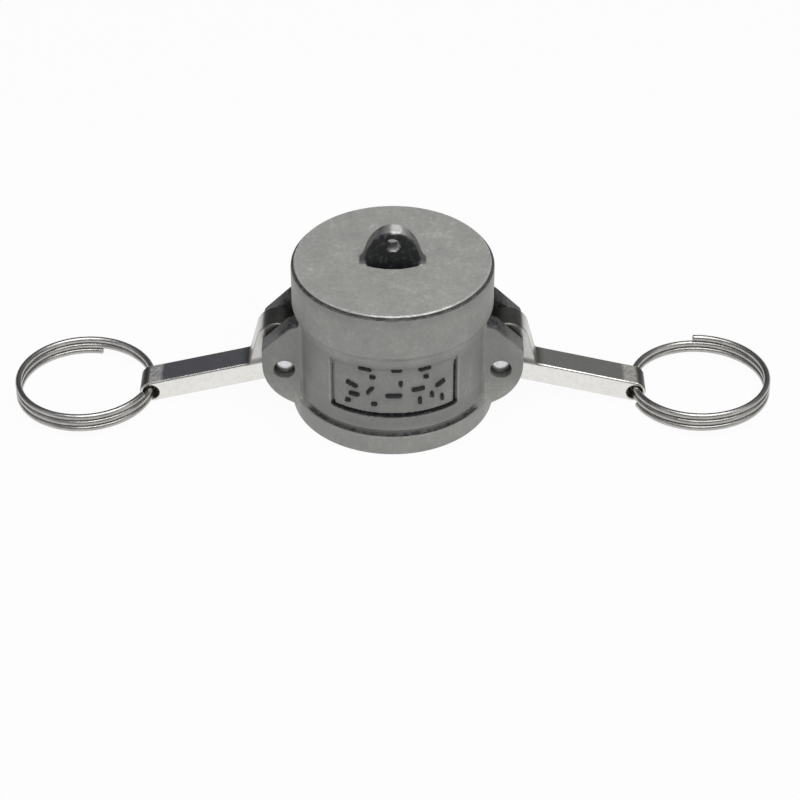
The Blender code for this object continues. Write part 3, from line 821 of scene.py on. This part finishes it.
def points_of(mesh):
    """The mesh's points in millimetres."""
    points = np.empty(3 * len(mesh.vertices), np.float32)
    mesh.vertices.foreach_get("co", points)
    return points.reshape(-1, 3) * 1000


def thinned(mesh, triangles, free):
    """Collapses the edges of the free points that matter least, until so many triangles are left."""
    carrier = bpy.data.objects.new(mesh.name, mesh)
    bpy.context.scene.collection.objects.link(carrier)
    carrier.vertex_groups.new(name="free").add(np.flatnonzero(free).tolist(), 1.0, "REPLACE")
    collapse = carrier.modifiers.new("thin", "DECIMATE")
    collapse.ratio = min(1, triangles / (2 * len(mesh.polygons)))
    collapse.vertex_group = "free"
    view = carrier.evaluated_get(bpy.context.evaluated_depsgraph_get())
    result = bpy.data.meshes.new_from_object(view)
    name = mesh.name
    bpy.data.objects.remove(carrier)
    bpy.data.meshes.remove(mesh)
    result.name = name
    return result


def add_piece(mesh, finish, body, node, normals=None, numbers=None, places=None):
    """Gives a mesh its finish, its exact normals and its attributes, and hands the piece to its body."""
    for key, values in (numbers or {}).items():
        mesh.attributes.new(key, "FLOAT", "POINT").data.foreach_set("value", values.astype(np.float32))
    if places is not None:
        own = mesh.attributes.new("own_place", "FLOAT_VECTOR", "POINT")
        own.data.foreach_set("vector", (places * 0.001).astype(np.float32).ravel())
    if normals is not None:
        mesh.normals_split_custom_set_from_vertices(normals)
    mesh.materials.append(finish)
    piece = bpy.data.objects.new(mesh.name, mesh)
    bpy.context.scene.collection.objects.link(piece)
    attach(piece, body)
    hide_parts(node)


def closed(mesh):
    """Merges the points that meet at the ends or on the axis of a mesh."""
    shell = bmesh.new()
    shell.from_mesh(mesh)
    bmesh.ops.remove_doubles(shell, verts=shell.verts, dist=1e-6)
    bmesh.ops.recalc_face_normals(shell, faces=shell.faces)
    shell.to_mesh(mesh)
    shell.free()
    mesh.shade_smooth()
    return mesh


def cast_finish(settings):
    """As-cast aluminium: bright and dull grains, cloudy patches, painted shade in the hollows, polished
    edges and painted highlights.
    """
    finish = Finish("cast_aluminium_skin")
    place = finish.place()
    grain = finish.noise(settings.grain, place, 3.0, 0.65)
    coarse = finish.noise(settings.grain * 3.4, place, 2.0, 0.6)
    cloud = finish.noise(0.008, place, 3.0, 0.6)
    # The painted shade attribute darkens the colour in patches towards the shade colour
    grime = (finish.number("grime") * (0.65 + 0.7 * coarse)).clipped()
    # The worn attribute lightens the colour with polished edges and painted highlights, raggedly
    worn = finish.number("worn") * (0.55 + 0.45 * finish.step(coarse, 0.42, 0.56))
    tone = grain * 0.5 + coarse * 0.35 + cloud * 0.35
    base = finish.mixed(finish.step(tone, 0.6, 0.82) * 0.75, tuple(settings.metal), tuple(settings.fleck))
    base = finish.mixed(finish.step(tone, 0.62, 0.4) * 0.5, base, tuple(0.6 * v for v in settings.metal))
    base = finish.mixed(grime, base, tuple(settings.grime))
    base = finish.mixed(worn * 0.75, base, tuple(settings.worn))
    relief = (grain * 0.7 + coarse * 0.9 + cloud * 1.6) * (1 - 0.8 * worn)
    return finish.wear(
        base_color=base,
        roughness=(settings.roughness - 0.12 + 0.2 * grain + 0.15 * grime - 0.22 * worn).clipped(),
        metallic=(settings.metallic - 0.2 * worn).clipped(),
        normal=finish.bump(relief, settings.grain_depth, 0.8),
    )


def steel_finish(settings):
    """Cast and tumbled stainless steel: streaks along the lever, painted shade, dull where the ring rubs.
    """
    finish = Finish("stainless_arm_skin")
    even = finish.place((1, 1, 1), "own_place")
    streak = finish.noise(settings.streak, finish.place((0.06, 1, 1), "own_place"), 3.0, 0.6)
    spot = finish.noise(0.0011, even, 3.0, 0.6)
    cloud = finish.noise(0.006, even, 2.0, 0.5)
    # The painted shade attribute darkens hollows, the end, corner, lobe and shoulder, in patches
    grime = (finish.number("grime") * (0.8 + 0.4 * cloud)).clipped()
    stained = finish.step(spot + 0.4 * cloud, 0.62, 0.9) * 0.12
    rub = finish.number("rub") * (0.3 + 0.7 * finish.step(spot, 0.57, 0.45))
    base = finish.mixed(stained, tuple(settings.metal), tuple(settings.stain))
    base = finish.mixed(rub * 0.8, base, tuple(settings.stain))
    base = finish.mixed(grime, base, tuple(settings.grime))
    dull = settings.roughness - 0.1 + 0.16 * streak + 0.14 * cloud + 0.2 * grime + 0.3 * rub
    return finish.wear(
        base_color=base,
        roughness=dull.clipped(),
        metallic=(1 - 0.7 * rub).clipped(),
        normal=finish.bump(streak * 0.5 + spot * 0.5 + cloud * 1.2, 0.00004, 0.7),
    )


def wire_finish(name, metal, roughness):
    """Drawn or turned steel with faint scratches and dull spots."""
    finish = Finish(name)
    place = finish.place()
    scratch = finish.noise(0.00035, place, 3.0, 0.65)
    spot = finish.noise(0.003, place, 2.0, 0.5)
    dull = finish.step(scratch + 0.5 * spot, 0.6, 0.95) * 0.5
    base = finish.mixed(dull, tuple(metal), tuple(0.45 * v for v in metal))
    return finish.wear(
        base_color=base,
        roughness=(roughness - 0.08 + 0.2 * scratch).clipped(),
        metallic=1.0,
        normal=finish.bump(scratch + spot, 0.00002, 0.6),
    )


def rubber_finish(settings):
    """Black rubber with a little talc in its pores."""
    finish = Finish("black_rubber_skin")
    place = finish.place()
    pores = finish.noise(0.0004, place, 2.0, 0.6)
    dust = finish.step(finish.noise(0.005, place, 4.0, 0.6), 0.45, 0.7)
    return finish.wear(
        base_color=finish.mixed(dust * 0.6, tuple(settings.rubber), tuple(settings.dust)),
        roughness=(settings.roughness + 0.2 * dust + 0.08 * pores).clipped(),
        metallic=0.0,
        normal=finish.bump(pores, 0.00003, 0.5),
    )


class DUSTCAP_OT_casting(bpy.types.Operator):
    """Makes the casting with its ears, bowl, panels, lug and pocket"""

    bl_idname = "dustcap.casting"
    bl_label = "Casting"

    def execute(self, context):
        settings = context.scene.dustcap_casting
        distance = casting_distance(settings.root_fillet * 1000, settings.mark_height * 1000)
        points, quads = surface_of(distance, (-41.5, -32.5, 0), (41.5, 32.5, 64.5), settings.cell * 1000)
        shares = np.stack(finish_shares(distance, points)[:2])[:, quads]
        free = np.full(len(points), True)
        free[quads[(np.ptp(shares, axis=2) > 0.12).any(axis=0)]] = False
        free[points[:, 2] > EYE[0] - EYE[1] - 1] = False
        mesh = thinned(mesh_of("casting", points, quads), settings.triangles, free)
        grime, worn, points, normals = finish_shares(distance, points_of(mesh))
        mesh.vertices.foreach_set("co", (points * 0.001).ravel())
        # The painted shade and the wear with painted highlights go onto the mesh as point attributes
        finish, shares = cast_finish(settings), {"grime": grime, "worn": worn}
        add_piece(mesh, finish, "cap", "cap_body", normals, shares)
        return {"FINISHED"}


class DUSTCAP_OT_gasket(bpy.types.Operator):
    """Makes the flat rubber ring at the end of the bowl"""

    bl_idname = "dustcap.gasket"
    bl_label = "Gasket"

    def execute(self, context):
        settings = context.scene.dustcap_gasket
        e = settings.edge * 1000
        inner, outer, low, high = GASKET_INNER + e, GASKET_OUTER - e, GASKET_FACE + e, GASKET_TOP - e
        profile = np.concatenate([
            arc((outer, low), e, -90, 0, 4), arc((outer, high), e, 0, 90, 4),
            arc((inner, high), e, 90, 180, 4), arc((inner, low), e, 180, 270, 4),
        ])
        mesh = mesh_of("seal", *turned(profile, 144, True))
        add_piece(mesh, rubber_finish(settings), "cap", "gasket")
        return {"FINISHED"}


class DUSTCAP_OT_arms(bpy.types.Operator):
    """Makes both cam arms"""

    bl_idname = "dustcap.arms"
    bl_label = "Cam arms"

    def execute(self, context):
        settings = context.scene.dustcap_arms
        distance = arm_distance(settings.edge * 1000)
        places, quads = surface_of(distance, (-7, -5, -7), (49.6, 5, 13.7), settings.cell * 1000)
        places, normals = settled(distance, places, 0.1)
        finish, shares = steel_finish(settings), arm_shares(distance, places, normals)
        for side in ("right", "left"):
            mesh = mesh_of(f"lever_{side}", on_arm(places, side), quads)
            out = on_arm(normals, side) - on_arm(0 * normals, side)
            body, node = f"arm_{side}", f"cam_arm_{side}"
            add_piece(mesh, finish, body, node, out, shares, places)
        return {"FINISHED"}


class DUSTCAP_OT_pins(bpy.types.Operator):
    """Makes both pivot pins, with a slightly domed end"""

    bl_idname = "dustcap.pins"
    bl_label = "Pivot pins"

    def execute(self, context):
        settings = context.scene.dustcap_rings
        finish = wire_finish("pin_steel_skin", settings.pin, settings.pin_roughness)
        dome = arc((0, PIN_END - PIN_DOME - 0.1), PIN_DOME, 90, 79.5, 6)
        corner = arc((PIN_RADIUS - PIN_EDGE, PIN_END - PIN_EDGE - 0.35), PIN_EDGE, 75, 0, 6)
        half = np.concatenate([dome, corner])
        profile = np.concatenate([half, half[::-1] * (1, -1)])
        points, quads = turned(profile, 48, False)
        x, y, z = points.T
        points = np.stack([x + PIVOT[0], -z, y + PIVOT[1]], axis=1)
        for side, turn in (("right", 1), ("left", -1)):
            mesh = closed(mesh_of(f"pin_{side}", points * (turn, turn, 1), quads))
            add_piece(mesh, finish, "cap", f"pivot_pin_{side}")
        return {"FINISHED"}


class DUSTCAP_OT_rings(bpy.types.Operator):
    """Makes both split pull rings"""

    bl_idname = "dustcap.rings"
    bl_label = "Pull rings"

    def execute(self, context):
        settings = context.scene.dustcap_rings
        finish = wire_finish("ring_steel_skin", settings.wire, settings.wire_roughness)
        for side in ("right", "left"):
            mesh = closed(mesh_of(f"ring_{side}", *coil(side, settings.around, settings.per_turn)))
            add_piece(mesh, finish, mesh.name, f"pull_ring_{side}")
        return {"FINISHED"}


def add_lamp(name, watts, size, place):
    """One square area lamp that points at the cap."""
    light = bpy.data.lights.new(name, "AREA")
    light.energy, light.size = watts, size
    made = bpy.data.objects.new(name, light)
    made.location = place
    made.rotation_euler = (Vector(LAMP_AIM) - Vector(place)).to_track_quat("-Z", "Y").to_euler()
    bpy.context.scene.collection.objects.link(made)


class DUSTCAP_OT_stage(bpy.types.Operator):
    """Makes the floor, which is clear from below, the lamps and the camera"""

    bl_idname = "dustcap.stage"
    bl_label = "Stage"

    def execute(self, context):
        scene = context.scene
        settings = scene.dustcap_stage
        a = FLOOR_REACH
        corners = [(-a, -a, 0), (a, -a, 0), (a, a, 0), (-a, a, 0)]
        mesh = bpy.data.meshes.new("floor")
        mesh.from_pydata(corners, [], [(0, 1, 2, 3)])
        floor = bpy.data.objects.new("floor", mesh)
        scene.collection.objects.link(floor)
        finish = Finish("white_floor")
        finish.wear(base_color=tuple(settings.floor), roughness=0.9)
        rays = finish.ray("Camera") + finish.ray("Glossy") + finish.ray("Transmission")
        glow = finish.node("ShaderNodeEmission", None, {"Color": (1.0, 1.0, 1.0), "Strength": 1.0})
        plain = Signal(finish, finish.shader.outputs[0])
        seen = rays.clipped() * settings.level
        blend = finish.node("ShaderNodeMixShader", None, {0: seen, 1: plain, 2: glow})
        below = finish.node("ShaderNodeNewGeometry", None, None, "Backfacing")
        clear = finish.node("ShaderNodeBsdfTransparent")
        blend = finish.node("ShaderNodeMixShader", None, {0: below, 1: blend, 2: clear})
        finish.feed(finish.tree.nodes["Material Output"].inputs["Surface"], blend)
        mesh.materials.append(finish.material)
        self.light_world(scene)
        for name, (setting, part, size, place) in LAMPS.items():
            add_lamp(name, part * getattr(settings, setting), size, place)
        self.add_camera(scene, settings)
        scene.view_settings.view_transform = "Standard"
        return {"FINISHED"}

    def light_world(self, scene):
        """A grey room that the camera sees as white: dark behind, darkest on the left, paler far aside."""
        world = bpy.data.worlds.new("room")
        world.use_nodes = True
        scene.world = world
        room = Finish("room", world.node_tree)
        way = room.node("ShaderNodeTexCoord", None, None, "Generated")
        across, back = (room.node("ShaderNodeSeparateXYZ", None, {0: way}, axis) for axis in "XY")
        behind = room.step(back, -0.2, 0.5) * (1 - 0.6 * room.step(across.math("ABSOLUTE"), 0.6, 0.9))
        dark = room.mixed(room.step(across, -0.3, 0.3), (0.075, 0.077, 0.092), (0.16, 0.163, 0.16))
        tint = room.mixed(behind, (0.24, 0.24, 0.25), dark)
        tint = room.mixed(room.ray("Camera"), tint, (1.0, 1.0, 1.0))
        sky = world.node_tree.nodes["Background"]
        room.feed(sky.inputs["Color"], tint)
        sky.inputs["Strength"].default_value = 1.0

    def add_camera(self, scene, settings):
        """The camera that was fitted to the photograph."""
        lens = bpy.data.cameras.new("camera")
        lens.lens = settings.lens
        lens.sensor_width = 36
        lens.clip_start = 0.01
        camera = bpy.data.objects.new("camera", lens)
        scene.collection.objects.link(camera)
        e = settings.elevation
        back = Vector((0, -math.cos(e), math.sin(e)))
        camera.location = Vector(CAMERA_AIM) + settings.distance * back
        camera.rotation_euler = (math.pi / 2 - e, 0, 0)
        scene.camera = camera


class DUSTCAP_PT_pieces(bpy.types.Panel):
    """Lists the pieces of the dust cap"""

    bl_idname = "DUSTCAP_PT_pieces"
    bl_label = "Dust cap"
    bl_space_type = "VIEW_3D"
    bl_region_type = "UI"
    bl_category = "Dust cap"

    def draw(self, context):
        for operator in OPERATORS:
            self.layout.operator(operator.bl_idname)
        for name, group in GROUPS.items():
            box = self.layout.box()
            box.label(text=group.__doc__)
            for key in group.__annotations__:
                box.prop(getattr(context.scene, name), key)


GROUPS = {
    "dustcap_casting": DustCapCasting,
    "dustcap_arms": DustCapArms,
    "dustcap_rings": DustCapRings,
    "dustcap_gasket": DustCapGasket,
    "dustcap_stage": DustCapStage,
}
OPERATORS = (
    DUSTCAP_OT_casting, DUSTCAP_OT_gasket, DUSTCAP_OT_arms, DUSTCAP_OT_pins, DUSTCAP_OT_rings,
    DUSTCAP_OT_stage,
)


def register():
    for name, group in GROUPS.items():
        bpy.utils.register_class(group)
        setattr(bpy.types.Scene, name, PointerProperty(type=group))
    for made in (*OPERATORS, DUSTCAP_PT_pieces):
        bpy.utils.register_class(made)


def unregister():
    for made in (DUSTCAP_PT_pieces, *reversed(OPERATORS)):
        bpy.utils.unregister_class(made)
    for name, group in reversed(GROUPS.items()):
        delattr(bpy.types.Scene, name)
        bpy.utils.unregister_class(group)


def main():
    """Makes every piece."""
    register()
    bpy.ops.dustcap.casting()
    bpy.ops.dustcap.gasket()
    bpy.ops.dustcap.arms()
    bpy.ops.dustcap.pins()
    bpy.ops.dustcap.rings()
    bpy.ops.dustcap.stage()


if __name__ == "__main__":
    main()
